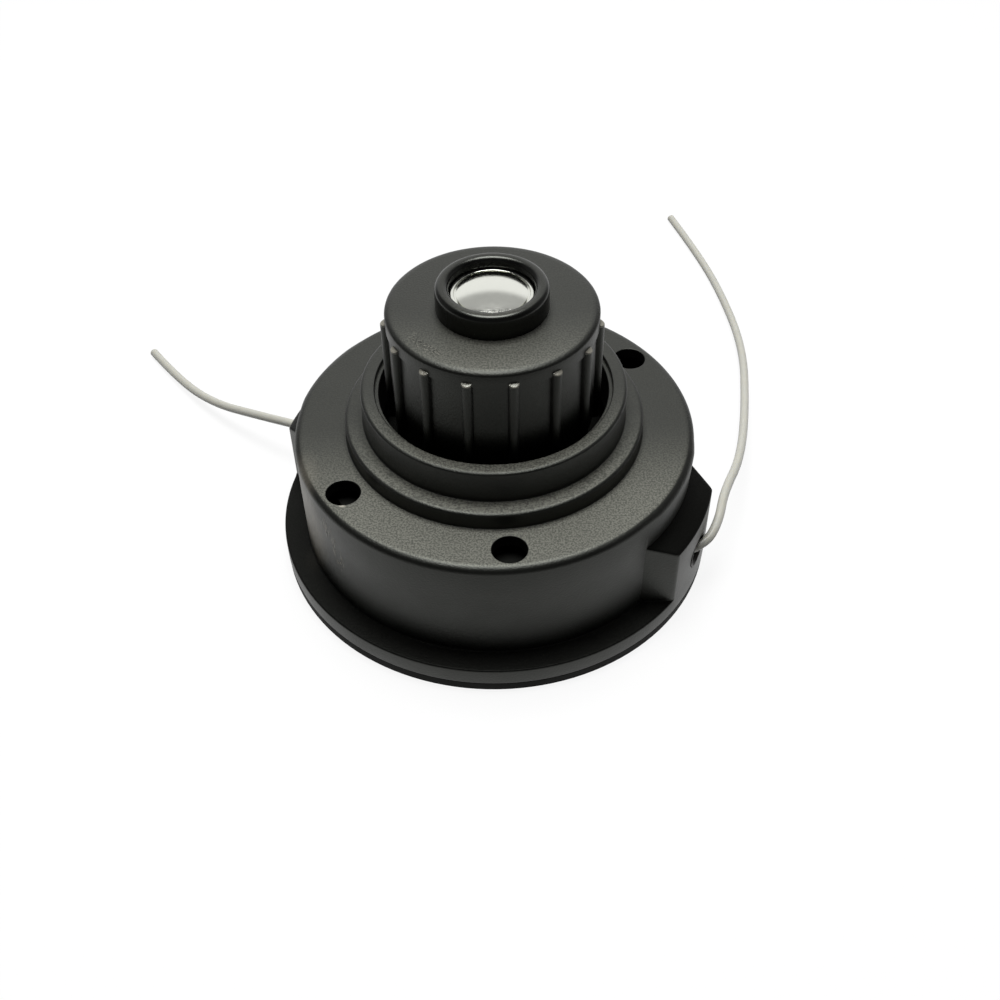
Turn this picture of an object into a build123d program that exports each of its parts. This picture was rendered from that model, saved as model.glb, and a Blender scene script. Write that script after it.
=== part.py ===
from build123d import *
import math
import os

# Two-line tap-feed trimmer head, standing on its drive side with the tap knob up.
# Millimetres. Origin at the centre of the base, +Z along the spindle towards the knob.

# Drum
DRUM_RADIUS = 50.0
DRUM_WALL = 2.2
DRUM_WALL_HEIGHT = 28.9
DRUM_EDGE_ROUND = 1.6
TOP_PLATE = 3.0
FLANGE_WIDTH = 6.0
FLANGE_HEIGHT = 4.9
FLANGE_EDGE_CHAMFER = 0.5
LOWER_STEP_WIDTH = 4.5
LOWER_STEP_RISE = 4.4
UPPER_STEP_RADIUS = 32.5
UPPER_STEP_RISE = 8.6
STEP_CHAMFER = 0.6
NECK_OPENING_RADIUS = 29.0
NECK_WALL = 3.0
NECK_LEDGE_WIDTH = 1.0
NECK_LEDGE_DEPTH = 1.2
PATTERN_TURN = -26.0
PATTERN_PLACES = 6
WINDOW_RADIUS = 4.1
WINDOW_CIRCLE_RADIUS = 43.5
BOSS_TOP_ABOVE_FLANGE = 19.3
BOSS_TOP_FALL = 2.7
BOSS_FACE_WIDTH = 23.6
BOSS_ROOT_WIDTH = 32.0

# Line outlets
EYELET_HEIGHT_ABOVE_FLANGE = 6.8
EYELET_RADIUS = 4.6
EYELET_BORE_RADIUS = 3.5
EYELET_LIP_CHAMFER = 0.7

# Back cover
COVER_INSET = 0.1
COVER_PLATE = 2.5
COVER_EDGE_CHAMFER = 0.3
SPIGOT_HEIGHT = 4.0
SPIGOT_WALL = 2.4
COVER_RECESS_DEPTH = 0.8
COVER_RECESS_OUTER_RADIUS = 45.0
COVER_RECESS_INNER_RADIUS = 19.0
HUB_RADIUS = 12.5
HUB_HEIGHT = 10.0
SCREW_COUNT = 4
SCREW_INSET = 5.4
SCREW_RADIUS = 1.4
SCREW_HEAD_RADIUS = 2.6
SCREW_LENGTH = 5.2
SCREW_SLOT_WIDTH = 0.8
SCREW_SLOT_DEPTH = 0.7

# Drive nut and guide post
NUT_ACROSS_FLATS = 17.0
NUT_HEIGHT = 8.0
NUT_RECESS = 1.0
THREAD_RADIUS = 4.38
POST_RADIUS = 5.0
POST_FLANGE_RADIUS = 8.2
POST_FLANGE_HEIGHT = 2.6
POST_REACH = 27.0
POST_CHAMFER = 0.8
CLIP_WIDTH = 1.2
CLIP_RING = 2.0
CLIP_GAP_ANGLE = 70.0
CLIP_GROOVE_DEPTH = 0.6

# Feed spring
TAP_STROKE = 6.0
SPRING_MEAN_RADIUS = 15.2
SPRING_WIRE_RADIUS = 0.9
SPRING_TURNS = 4.5
SPRING_SECTION_SIDES = 4
SEAT_THICKNESS = 1.0
SEAT_RIM = 2.4
WASHER_THICKNESS = 1.5

# Spool
SPOOL_FLANGE_RADIUS = 43.5
SPOOL_FLANGE = 1.8
SPOOL_DIVIDER = 1.4
SPOOL_DIVIDER_RADIUS = 42.0
SPOOL_CORE_RADIUS = 22.0
SPOOL_CORE_WALL = 2.2
SPOOL_BAY_HEIGHT = 8.0
SPOOL_WEB = 2.6
SPOOL_NECK_RADIUS = 10.0
SPOOL_NECK_END = 4.5
FLANGE_SLOT_WIDTH = 6.0
FLANGE_SLOT_DEPTH = 4.0
INDEX_TEETH = 12
INDEX_INNER_RADIUS = 34.8
INDEX_OUTER_RADIUS = 38.6
INDEX_TOOTH_HEIGHT = 1.2
INDEX_TOOTH_ANGLE = 9.0
INDEX_GAP = 0.3
WINDING_RADIUS = 35.0

# Knob
KNOB_RADIUS = 25.0
KNOB_RISE = 22.9
KNOB_DEPTH = 8.0
KNOB_CROWN_HEIGHT = 4.0
KNOB_CROWN = 3.4
KNOB_WALL = 2.6
KNOB_EDGE_ROUND = 1.0
KNOB_SKIRT_INSET = 0.5
KNOB_BOSS_RADIUS = 9.0
KNOB_WEB = 1.6
KNOB_WEB_COUNT = 5
RIB_COUNT = 15
RIB_TURN = 10.3
RIB_RADIUS = 1.25
RIB_OUTER_RADIUS = 26.1
RIB_TOP_DROP = 2.9
RIB_END_RADIUS = 0.3
STUD_RADIUS = 3.9
STUD_REACH = 14.0
STUD_END_CHAMFER = 0.6
COLLAR_RADIUS = 13.2
COLLAR_BORE_RADIUS = 10.0
COLLAR_HEIGHT = 6.0
COLLAR_SEAT_DEPTH = 1.4
COLLAR_ROUND = 1.3
COLLAR_BORE_CHAMFER = 1.0
DOME_RADIUS = 8.3
DOME_RIM_WIDTH = 1.3
DOME_RIM_HEIGHT = 3.6
DOME_GROOVE_DEPTH = 0.5
DOME_GROOVE_WIDTH = 0.5
DOME_RISE = 1.0

# Fits
SLIDE_FIT = 0.05
SEAT_FIT = 0.02
LOOSE_FIT = 0.3
THROUGH = 1.0

# Nylon line
LINE_RADIUS = 1.2
LINE_SECTION_SIDES = 8
ARC_SHARE = 0.45
RIGHT_LINE_ROUTE = [
    (46.0, -24.6, 13.4), (52.2, -23.1, 14.2), (56.6, -16.2, 15.6), (59.6, -5.0, 15.2), (66.8, 11.3, 11.4),
    (72.8, 37.0, 6.2), (78.0, 71.1, 2.3), (75.1, 103.3, 1.25), (69.6, 127.7, 1.25), (63.9, 146.7, 1.25)]
LEFT_LINE_ROUTE = [
    (-46.8, 23.3, 12.3), (-54.8, 27.1, 12.2), (-67.6, 35.0, 9.2), (-82.5, 45.8, 4.6),
    (-95.5, 60.0, 1.6), (-106.3, 74.8, 1.25)]

# Radii that follow from the drum
CAVITY_RADIUS = DRUM_RADIUS - DRUM_WALL
FLANGE_RADIUS = DRUM_RADIUS + FLANGE_WIDTH
COVER_RADIUS = FLANGE_RADIUS - COVER_INSET
SCREW_CIRCLE_RADIUS = FLANGE_RADIUS - SCREW_INSET
LOWER_STEP_RADIUS = UPPER_STEP_RADIUS + LOWER_STEP_WIDTH

# Levels along the spindle
FLANGE_BASE = COVER_PLATE
FLANGE_TOP = FLANGE_BASE + FLANGE_HEIGHT
DRUM_TOP = FLANGE_TOP + DRUM_WALL_HEIGHT
LOWER_STEP_TOP = DRUM_TOP + LOWER_STEP_RISE
NECK_TOP = LOWER_STEP_TOP + UPPER_STEP_RISE
CEILING = DRUM_TOP - TOP_PLATE
EYELET_HEIGHT = FLANGE_TOP + EYELET_HEIGHT_ABOVE_FLANGE
NUT_BASE = NUT_RECESS
NUT_TOP = NUT_BASE + NUT_HEIGHT
HUB_TOP = COVER_PLATE + HUB_HEIGHT
POST_FLANGE_TOP = NUT_TOP + POST_FLANGE_HEIGHT
POST_TOP = POST_FLANGE_TOP + POST_REACH
SPOOL_TOP = CEILING - 2 * INDEX_TOOTH_HEIGHT - INDEX_GAP
UPPER_BAY_TOP = SPOOL_TOP - SPOOL_FLANGE
DIVIDER_TOP = UPPER_BAY_TOP - SPOOL_BAY_HEIGHT
LOWER_BAY_TOP = DIVIDER_TOP - SPOOL_DIVIDER
LOWER_FLANGE_TOP = LOWER_BAY_TOP - SPOOL_BAY_HEIGHT
SPOOL_BASE = LOWER_FLANGE_TOP - SPOOL_FLANGE
WEB_BASE = UPPER_BAY_TOP - SPOOL_WEB
WASHER_TOP = WEB_BASE - SLIDE_FIT
WASHER_BASE = WASHER_TOP - WASHER_THICKNESS
CLIP_BASE = WASHER_TOP + SLIDE_FIT
CLIP_RADIUS = POST_RADIUS - CLIP_GROOVE_DEPTH + CLIP_RING
CLIP_WELL_TOP = CLIP_BASE + CLIP_WIDTH + TAP_STROKE + LOOSE_FIT
SPOOL_BORE_TOP = POST_TOP + TAP_STROKE + LOOSE_FIT
SPOOL_NECK_TOP = SPOOL_BORE_TOP + SPOOL_NECK_END
SEAT_TOP = COVER_PLATE + SEAT_THICKNESS
KNOB_TOP = NECK_TOP + KNOB_RISE
KNOB_BASE = NECK_TOP - KNOB_DEPTH
COLLAR_BASE = KNOB_TOP - COLLAR_SEAT_DEPTH
BORE_RADIUS = POST_RADIUS + SLIDE_FIT
BOSS_ANGLES = [PATTERN_TURN, PATTERN_TURN + 180]
WINDOW_ANGLES = [
    PATTERN_TURN + 360 / PATTERN_PLACES * place
    for place in range(PATTERN_PLACES) if place % (PATTERN_PLACES // 2)]


def turned(corners):
    """Solid of revolution about Z from (radius, height, corner round) points, each round a tangent arc."""
    edges = []
    start = None
    for index, (radius, height, corner_round) in enumerate(corners):
        here = Vector(radius, height)
        before = (Vector(*corners[index - 1][:2]) - here).normalized()
        after = (Vector(*corners[(index + 1) % len(corners)][:2]) - here).normalized()
        if corner_round:
            half = math.radians(before.get_angle(after)) / 2
            inward = (before + after).normalized()
            entry = here + before * (corner_round / math.tan(half))
            leave = here + after * (corner_round / math.tan(half))
            middle = here + inward * (corner_round / math.sin(half) - corner_round)
        else:
            entry = leave = here
        if start is None:
            first = entry
        else:
            edges.append(Line(start, entry))
        if corner_round:
            edges.append(ThreePointArc(entry, middle, leave))
        start = leave
    edges.append(Line(start, first))
    return revolve(Plane.XZ * make_face(Wire(edges)), Axis.Z)


def ring(inner, outer, base, top):
    """Plain ring between two radii and two heights."""
    return turned([(inner, base, 0), (outer, base, 0), (outer, top, 0), (inner, top, 0)])


def disc(radius, base, top):
    """Plain round bar between two heights."""
    return Pos(0, 0, (base + top) / 2) * Cylinder(radius, top - base)


def outward(angle, height):
    """Place at the spindle with local Z pointing out at the given angle and height."""
    return Pos(0, 0, height) * Rot(0, 0, angle) * Rot(0, 90, 0)


def tooth_ring(base):
    """Index teeth: short ring segments in an even circle, standing on the given height."""
    half = math.radians(INDEX_TOOTH_ANGLE) / 2
    inner, outer = INDEX_INNER_RADIUS, INDEX_OUTER_RADIUS
    corners = [
        (inner * math.cos(half), -inner * math.sin(half)), (outer * math.cos(half), -outer * math.sin(half)),
        (outer * math.cos(half), outer * math.sin(half)), (inner * math.cos(half), inner * math.sin(half))]
    tooth = extrude(Pos(0, 0, base) * make_face(Polyline(*corners, close=True)), INDEX_TOOTH_HEIGHT)
    return [Rot(0, 0, 360 / INDEX_TEETH * index) * tooth for index in range(INDEX_TEETH)]


def outlet_boss(angle):
    """Block on the drum wall: tapered sides, a face flush with the flange rim and a top falling outwards."""
    root = CAVITY_RADIUS
    plan = make_face(Polyline(
        (root, -BOSS_ROOT_WIDTH / 2), (FLANGE_RADIUS, -BOSS_FACE_WIDTH / 2),
        (FLANGE_RADIUS, BOSS_FACE_WIDTH / 2), (root, BOSS_ROOT_WIDTH / 2), close=True))
    top = FLANGE_TOP + BOSS_TOP_ABOVE_FLANGE
    foot = FLANGE_BASE + FLANGE_EDGE_CHAMFER
    outline = turned([
        (0, foot, 0), (FLANGE_RADIUS, foot, 0), (FLANGE_RADIUS, top - BOSS_TOP_FALL, 0),
        (DRUM_RADIUS, top, 0), (0, top, 0)])
    return Rot(0, 0, angle) * (extrude(Pos(0, 0, foot) * plan, top - foot) & outline)


def drum_housing():
    """Moulded drum: flange, wall, stepped neck, two line outlets, windows and index teeth below the plate."""
    ledge_top = NECK_TOP - NECK_LEDGE_DEPTH
    bore = NECK_OPENING_RADIUS - NECK_LEDGE_WIDTH
    under_step = LOWER_STEP_TOP - NECK_WALL
    shell = turned([
        (CAVITY_RADIUS, FLANGE_BASE, 0), (FLANGE_RADIUS - FLANGE_EDGE_CHAMFER, FLANGE_BASE, 0),
        (FLANGE_RADIUS, FLANGE_BASE + FLANGE_EDGE_CHAMFER, 0),
        (FLANGE_RADIUS, FLANGE_TOP - FLANGE_EDGE_CHAMFER, 0),
        (FLANGE_RADIUS - FLANGE_EDGE_CHAMFER, FLANGE_TOP, 0), (DRUM_RADIUS, FLANGE_TOP, 0),
        (DRUM_RADIUS, DRUM_TOP, DRUM_EDGE_ROUND), (LOWER_STEP_RADIUS, DRUM_TOP, 0),
        (LOWER_STEP_RADIUS, LOWER_STEP_TOP - STEP_CHAMFER, 0),
        (LOWER_STEP_RADIUS - STEP_CHAMFER, LOWER_STEP_TOP, 0),
        (UPPER_STEP_RADIUS, LOWER_STEP_TOP, 0), (UPPER_STEP_RADIUS, NECK_TOP - STEP_CHAMFER, 0),
        (UPPER_STEP_RADIUS - STEP_CHAMFER, NECK_TOP, 0), (NECK_OPENING_RADIUS, NECK_TOP, 0),
        (NECK_OPENING_RADIUS, ledge_top, 0), (bore, ledge_top, 0), (bore, under_step, 0),
        (LOWER_STEP_RADIUS - NECK_WALL, under_step, 0), (LOWER_STEP_RADIUS - NECK_WALL, CEILING, 0),
        (CAVITY_RADIUS, CEILING, 0)])
    for angle in BOSS_ANGLES:
        shell += outlet_boss(angle)
    shell += tooth_ring(CEILING - INDEX_TOOTH_HEIGHT)
    for angle in BOSS_ANGLES:
        depth = FLANGE_RADIUS - CAVITY_RADIUS + 2 * THROUGH
        hole = Pos(0, 0, (FLANGE_RADIUS + CAVITY_RADIUS) / 2) * Cylinder(EYELET_RADIUS, depth)
        shell -= outward(angle, EYELET_HEIGHT) * hole
    for angle in WINDOW_ANGLES:
        window = Pos(WINDOW_CIRCLE_RADIUS, 0, 0) * disc(WINDOW_RADIUS, CEILING, DRUM_TOP + THROUGH)
        shell -= Rot(0, 0, angle) * window
    for place in screw_places():
        shell -= place * disc(SCREW_RADIUS + SEAT_FIT, FLANGE_BASE, SCREW_LENGTH + LOOSE_FIT)
    return shell


def screw_places():
    """Places of the cover screws, even round the flange and between the line outlets."""
    pitch = 360 / SCREW_COUNT
    return [
        Rot(0, 0, PATTERN_TURN + pitch * (index + 0.5)) * Pos(SCREW_CIRCLE_RADIUS, 0, 0)
        for index in range(SCREW_COUNT)]


def screw_body(clearance):
    """Countersunk screw or, with a clearance, the space it takes, head down at the cover's face."""
    return turned([
        (0, 0, 0), (SCREW_HEAD_RADIUS + clearance, 0, 0),
        (SCREW_RADIUS + clearance, SCREW_HEAD_RADIUS - SCREW_RADIUS, 0),
        (SCREW_RADIUS + clearance, SCREW_LENGTH, 0), (0, SCREW_LENGTH, 0)])


def cover_screws():
    """Countersunk slotted screws that hold the back cover to the flange."""
    slot = Box(2 * SCREW_HEAD_RADIUS, SCREW_SLOT_WIDTH, 2 * SCREW_SLOT_DEPTH)
    return Compound([place * (screw_body(0) - slot) for place in screw_places()])


def hex_bar(clearance, base, top):
    """Hexagonal bar for the drive nut or, with a clearance, its pocket."""
    flat = NUT_ACROSS_FLATS / 2 + clearance
    return extrude(Pos(0, 0, base) * RegularPolygon(flat, 6, major_radius=False), top - base)


def back_cover():
    """Cover on the drive side: plate on a rim, spigot into the drum, and a hub round the drive nut."""
    spigot_outer = CAVITY_RADIUS - LOOSE_FIT
    spigot_top = COVER_PLATE + SPIGOT_HEIGHT
    cover = turned([
        (0, COVER_RECESS_DEPTH, 0), (0, HUB_TOP, 0), (HUB_RADIUS, HUB_TOP, 0), (HUB_RADIUS, COVER_PLATE, 0),
        (spigot_outer - SPIGOT_WALL, COVER_PLATE, 0), (spigot_outer - SPIGOT_WALL, spigot_top, 0),
        (spigot_outer, spigot_top, 0), (spigot_outer, COVER_PLATE, 0), (COVER_RADIUS, COVER_PLATE, 0),
        (COVER_RADIUS, COVER_EDGE_CHAMFER, 0), (COVER_RADIUS - COVER_EDGE_CHAMFER, 0, 0),
        (COVER_RECESS_OUTER_RADIUS, 0, 0), (COVER_RECESS_OUTER_RADIUS, COVER_RECESS_DEPTH, 0),
        (COVER_RECESS_INNER_RADIUS, COVER_RECESS_DEPTH, 0), (COVER_RECESS_INNER_RADIUS, 0, 0),
        (HUB_RADIUS, 0, 0), (HUB_RADIUS, COVER_RECESS_DEPTH, 0)])
    cover -= hex_bar(SEAT_FIT, 0, NUT_TOP)
    cover -= disc(POST_FLANGE_RADIUS + SEAT_FIT, NUT_TOP, HUB_TOP)
    for place in screw_places():
        cover -= place * screw_body(SEAT_FIT)
    return cover


def drive_nut():
    """Hexagonal steel nut in the hub, bored for the drive shaft's thread."""
    return hex_bar(0, NUT_BASE, NUT_TOP) - disc(THREAD_RADIUS, NUT_BASE, NUT_TOP)


def guide_post():
    """Steel post above the nut that the spool slides and turns on, grooved for its clip."""
    groove_radius = POST_RADIUS - CLIP_GROOVE_DEPTH
    groove_top = CLIP_BASE + CLIP_WIDTH
    return turned([
        (0, NUT_TOP, 0), (POST_FLANGE_RADIUS, NUT_TOP, 0), (POST_FLANGE_RADIUS, POST_FLANGE_TOP, 0),
        (POST_RADIUS, POST_FLANGE_TOP, 0), (POST_RADIUS, CLIP_BASE, 0), (groove_radius, CLIP_BASE, 0),
        (groove_radius, groove_top, 0), (POST_RADIUS, groove_top, 0),
        (POST_RADIUS, POST_TOP - POST_CHAMFER, 0), (POST_RADIUS - POST_CHAMFER, POST_TOP, 0),
        (0, POST_TOP, 0)])


def spring_seat():
    """Steel seat washer on the cover under the feed spring."""
    outer = SPRING_MEAN_RADIUS + SEAT_RIM
    return ring(HUB_RADIUS + LOOSE_FIT, outer, COVER_PLATE, SEAT_TOP)


def thrust_washer():
    """Steel washer on the post between the feed spring and the spool."""
    return ring(BORE_RADIUS, SPRING_MEAN_RADIUS + SEAT_RIM, WASHER_BASE, WASHER_TOP)


def feed_spring():
    """Compression spring between the seat and the thrust washer."""
    rise = WASHER_BASE - SEAT_TOP - 2 * SPRING_WIRE_RADIUS - 2 * SEAT_FIT
    path = Helix(rise / SPRING_TURNS, rise, SPRING_MEAN_RADIUS)
    section = Plane(path @ 0, z_dir=path % 0) * RegularPolygon(SPRING_WIRE_RADIUS, SPRING_SECTION_SIDES)
    coil = sweep(section, path, is_frenet=True)
    return Pos(0, 0, SEAT_TOP + SPRING_WIRE_RADIUS + SEAT_FIT) * coil


def spool():
    """Spool with two line bays, hollow below for the spring, and a neck up to the knob."""
    hollow = SPOOL_CORE_RADIUS - SPOOL_CORE_WALL
    well = CLIP_RADIUS + LOOSE_FIT
    body = turned([
        (well, WEB_BASE, 0), (hollow, WEB_BASE, 0), (hollow, SPOOL_BASE, 0),
        (SPOOL_FLANGE_RADIUS, SPOOL_BASE, 0), (SPOOL_FLANGE_RADIUS, LOWER_FLANGE_TOP, 0),
        (SPOOL_CORE_RADIUS, LOWER_FLANGE_TOP, 0), (SPOOL_CORE_RADIUS, LOWER_BAY_TOP, 0),
        (SPOOL_DIVIDER_RADIUS, LOWER_BAY_TOP, 0), (SPOOL_DIVIDER_RADIUS, DIVIDER_TOP, 0),
        (SPOOL_CORE_RADIUS, DIVIDER_TOP, 0), (SPOOL_CORE_RADIUS, UPPER_BAY_TOP, 0),
        (SPOOL_FLANGE_RADIUS, UPPER_BAY_TOP, 0), (SPOOL_FLANGE_RADIUS, SPOOL_TOP, 0),
        (SPOOL_NECK_RADIUS, SPOOL_TOP, 0), (SPOOL_NECK_RADIUS, SPOOL_NECK_TOP, 0), (0, SPOOL_NECK_TOP, 0),
        (0, SPOOL_BORE_TOP, 0), (BORE_RADIUS, SPOOL_BORE_TOP, 0), (BORE_RADIUS, CLIP_WELL_TOP, 0),
        (well, CLIP_WELL_TOP, 0)])
    body += tooth_ring(SPOOL_TOP)
    for angle in BOSS_ANGLES:
        slot = Box(2 * FLANGE_SLOT_DEPTH, FLANGE_SLOT_WIDTH, SPOOL_BASE)
        body -= Rot(0, 0, angle + 90) * Pos(SPOOL_FLANGE_RADIUS, 0, SPOOL_BASE) * slot
    return body - disc(STUD_RADIUS + SEAT_FIT, SPOOL_BORE_TOP, SPOOL_NECK_TOP)


def line_winding(base):
    """Wound line in one bay, its outside ridged where each turn shows."""
    turns = int(SPOOL_BAY_HEIGHT / (2 * LINE_RADIUS))
    pitch = (SPOOL_BAY_HEIGHT - 2 * SEAT_FIT) / turns
    low = base + SEAT_FIT
    inner = SPOOL_CORE_RADIUS + SEAT_FIT
    corners = [(inner, low, 0)]
    for turn in range(turns):
        foot = low + pitch * turn
        corners += [(WINDING_RADIUS, foot, 0), (WINDING_RADIUS + LINE_RADIUS, foot + pitch / 2, 0)]
    top = low + pitch * turns
    return turned(corners + [(WINDING_RADIUS, top, 0), (inner, top, 0)])


def post_clip():
    """Snap ring in the post's groove that keeps the spring and washer on when the spool is out."""
    clip = ring(POST_RADIUS - CLIP_GROOVE_DEPTH, CLIP_RADIUS, CLIP_BASE, CLIP_BASE + CLIP_WIDTH)
    half = math.radians(CLIP_GAP_ANGLE) / 2
    reach = 2 * CLIP_RADIUS
    wedge = make_face(Polyline(
        (0, 0), (reach * math.cos(half), -reach * math.sin(half)),
        (reach * math.cos(half), reach * math.sin(half)), close=True))
    return clip - extrude(Pos(0, 0, CLIP_BASE) * wedge, CLIP_WIDTH)


def bump_knob():
    """Tap knob: crowned cap over a ribbed skirt, hollow, with a webbed boss on the spool's neck."""
    skirt = KNOB_RADIUS - KNOB_SKIRT_INSET
    crown_base = KNOB_TOP - KNOB_CROWN_HEIGHT
    crown_under = KNOB_TOP - KNOB_CROWN
    knob = turned([
        (0, SPOOL_NECK_TOP, 0), (KNOB_BOSS_RADIUS, SPOOL_NECK_TOP, 0), (KNOB_BOSS_RADIUS, crown_under, 0),
        (skirt - KNOB_WALL, crown_under, 0), (skirt - KNOB_WALL, KNOB_BASE, 0), (skirt, KNOB_BASE, 0),
        (skirt, crown_base, 0), (KNOB_RADIUS, crown_base, 0), (KNOB_RADIUS, KNOB_TOP, KNOB_EDGE_ROUND),
        (COLLAR_RADIUS + SEAT_FIT, KNOB_TOP, 0), (COLLAR_RADIUS + SEAT_FIT, COLLAR_BASE, 0),
        (0, COLLAR_BASE, 0)])
    rib_axis = RIB_OUTER_RADIUS - RIB_RADIUS
    rib_top = KNOB_TOP - RIB_TOP_DROP - RIB_RADIUS
    rib_end = Pos(0, 0, RIB_RADIUS / 2) * Cone(RIB_RADIUS, RIB_END_RADIUS, RIB_RADIUS)
    rib = disc(RIB_RADIUS, KNOB_BASE, rib_top) + Pos(0, 0, rib_top) * rib_end
    for index in range(RIB_COUNT):
        knob += Rot(0, 0, RIB_TURN - 90 + 360 / RIB_COUNT * index) * Pos(rib_axis, 0, 0) * rib
    reach = skirt - KNOB_WALL / 2
    web_height = crown_under - SPOOL_NECK_TOP
    web = Pos(reach / 2, 0, SPOOL_NECK_TOP + web_height / 2) * Box(reach, KNOB_WEB, web_height)
    for index in range(KNOB_WEB_COUNT):
        knob += Rot(0, 0, 360 / KNOB_WEB_COUNT * index) * web
    return knob - disc(STUD_RADIUS + SEAT_FIT, SPOOL_NECK_TOP, SPOOL_NECK_TOP + STUD_REACH)


def knob_stud():
    """Steel stud that ties the knob's boss to the spool's neck."""
    base = SPOOL_BORE_TOP + SEAT_FIT
    top = SPOOL_NECK_TOP + STUD_REACH - SEAT_FIT
    return turned([
        (0, base, 0), (STUD_RADIUS, base, 0), (STUD_RADIUS, top - STUD_END_CHAMFER, 0),
        (STUD_RADIUS - STUD_END_CHAMFER, top, 0), (0, top, 0)])


def knob_collar():
    """Smooth wear ring let into the knob's crown."""
    top = KNOB_TOP + COLLAR_HEIGHT
    return turned([
        (COLLAR_BORE_RADIUS, COLLAR_BASE, 0), (COLLAR_RADIUS, COLLAR_BASE, 0),
        (COLLAR_RADIUS, top, COLLAR_ROUND), (COLLAR_BORE_RADIUS + COLLAR_BORE_CHAMFER, top, 0),
        (COLLAR_BORE_RADIUS, top - COLLAR_BORE_CHAMFER, 0)])


def dome_cap():
    """Polished domed steel cap inside the collar, with a flat rim set off by a groove."""
    rim_outer = min(DOME_RADIUS + DOME_RIM_WIDTH, COLLAR_BORE_RADIUS - SEAT_FIT)
    rim_top = KNOB_TOP + DOME_RIM_HEIGHT
    groove = rim_top - DOME_GROOVE_DEPTH
    sphere = (DOME_RADIUS ** 2 + DOME_RISE ** 2) / (2 * DOME_RISE)
    bend = math.asin(DOME_RADIUS / sphere) / 2
    crown = rim_top + DOME_RISE
    middle = (sphere * math.sin(bend), crown - sphere * (1 - math.cos(bend)))
    edges = [
        Line((0, crown), (0, COLLAR_BASE)), Line((0, COLLAR_BASE), (rim_outer, COLLAR_BASE)),
        Line((rim_outer, COLLAR_BASE), (rim_outer, rim_top)),
        Line((rim_outer, rim_top), (DOME_RADIUS + DOME_GROOVE_WIDTH, rim_top)),
        Line((DOME_RADIUS + DOME_GROOVE_WIDTH, rim_top), (DOME_RADIUS + DOME_GROOVE_WIDTH, groove)),
        Line((DOME_RADIUS + DOME_GROOVE_WIDTH, groove), (DOME_RADIUS, groove)),
        Line((DOME_RADIUS, groove), (DOME_RADIUS, rim_top)),
        ThreePointArc((DOME_RADIUS, rim_top), middle, (0, crown))]
    return revolve(Plane.XZ * make_face(Wire(edges)), Axis.Z)


def eyelet(angle):
    """Steel sleeve through one outlet, both mouths bevelled for the line."""
    outer = EYELET_RADIUS - SEAT_FIT
    mouth = EYELET_BORE_RADIUS + EYELET_LIP_CHAMFER
    sleeve = turned([
        (mouth, CAVITY_RADIUS, 0), (outer, CAVITY_RADIUS, 0), (outer, FLANGE_RADIUS, 0),
        (mouth, FLANGE_RADIUS, 0), (EYELET_BORE_RADIUS, FLANGE_RADIUS - EYELET_LIP_CHAMFER, 0),
        (EYELET_BORE_RADIUS, CAVITY_RADIUS + EYELET_LIP_CHAMFER, 0)])
    return outward(angle, EYELET_HEIGHT) * sleeve


def free_line(name, route):
    """Loose line end: straight runs joined by tangent arcs as large as the runs allow."""
    points = [Vector(*point) for point in route]
    radii = []
    for before, here, after in zip(points, points[1:], points[2:]):
        turn = math.radians((here - before).get_angle(after - here))
        shorter = min((here - before).length, (after - here).length)
        radii.append(ARC_SHARE * shorter / math.tan(turn / 2))
    path = FilletPolyline(*points, radius=radii)
    section = Plane(path @ 0, z_dir=path % 0) * RegularPolygon(LINE_RADIUS, LINE_SECTION_SIDES)
    tube = sweep(section, path)
    print(name, "radii", [round(radius, 1) for radius in radii], "length", round(path.length, 1))
    share = tube.volume / (section.area * path.length)
    print(name, "volume over section times length", round(share, 4))
    return tube


os.makedirs("parts", exist_ok=True)
PIECES = {
    "drum_housing": drum_housing(),
    "back_cover": back_cover(),
    "cover_screws": cover_screws(),
    "drive_nut": drive_nut(),
    "guide_post": guide_post(),
    "post_clip": post_clip(),
    "spring_seat": spring_seat(),
    "feed_spring": feed_spring(),
    "thrust_washer": thrust_washer(),
    "spool": spool(),
    "line_winding_lower": line_winding(LOWER_FLANGE_TOP),
    "line_winding_upper": line_winding(DIVIDER_TOP),
    "bump_knob": bump_knob(),
    "knob_stud": knob_stud(),
    "knob_collar": knob_collar(),
    "dome_cap": dome_cap(),
    "eyelet_right": eyelet(BOSS_ANGLES[0]),
    "eyelet_left": eyelet(BOSS_ANGLES[1]),
    "line_right": free_line("line_right", RIGHT_LINE_ROUTE),
    "line_left": free_line("line_left", LEFT_LINE_ROUTE),
}
for name, piece in PIECES.items():
    export_step(piece, os.path.join("parts", name + ".step"))
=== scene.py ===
"""Looks of a tap-feed trimmer head: black moulded drum and knob, polished cap, two nylon line ends."""
import math

import bmesh
import bpy
import numpy as np
from mathutils import Matrix, Vector


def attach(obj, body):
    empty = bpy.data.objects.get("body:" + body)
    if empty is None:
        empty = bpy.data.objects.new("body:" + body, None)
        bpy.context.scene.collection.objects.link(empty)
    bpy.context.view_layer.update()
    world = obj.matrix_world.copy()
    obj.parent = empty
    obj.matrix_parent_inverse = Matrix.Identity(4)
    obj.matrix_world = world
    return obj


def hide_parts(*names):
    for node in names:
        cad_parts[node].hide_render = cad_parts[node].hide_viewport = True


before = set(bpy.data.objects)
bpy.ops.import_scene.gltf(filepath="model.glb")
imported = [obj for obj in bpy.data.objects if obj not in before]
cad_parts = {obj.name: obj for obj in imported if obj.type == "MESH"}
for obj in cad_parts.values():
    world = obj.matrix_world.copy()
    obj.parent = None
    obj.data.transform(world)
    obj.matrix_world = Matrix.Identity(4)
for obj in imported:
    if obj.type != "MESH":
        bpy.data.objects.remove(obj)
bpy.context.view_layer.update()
MM = 0.001

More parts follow.
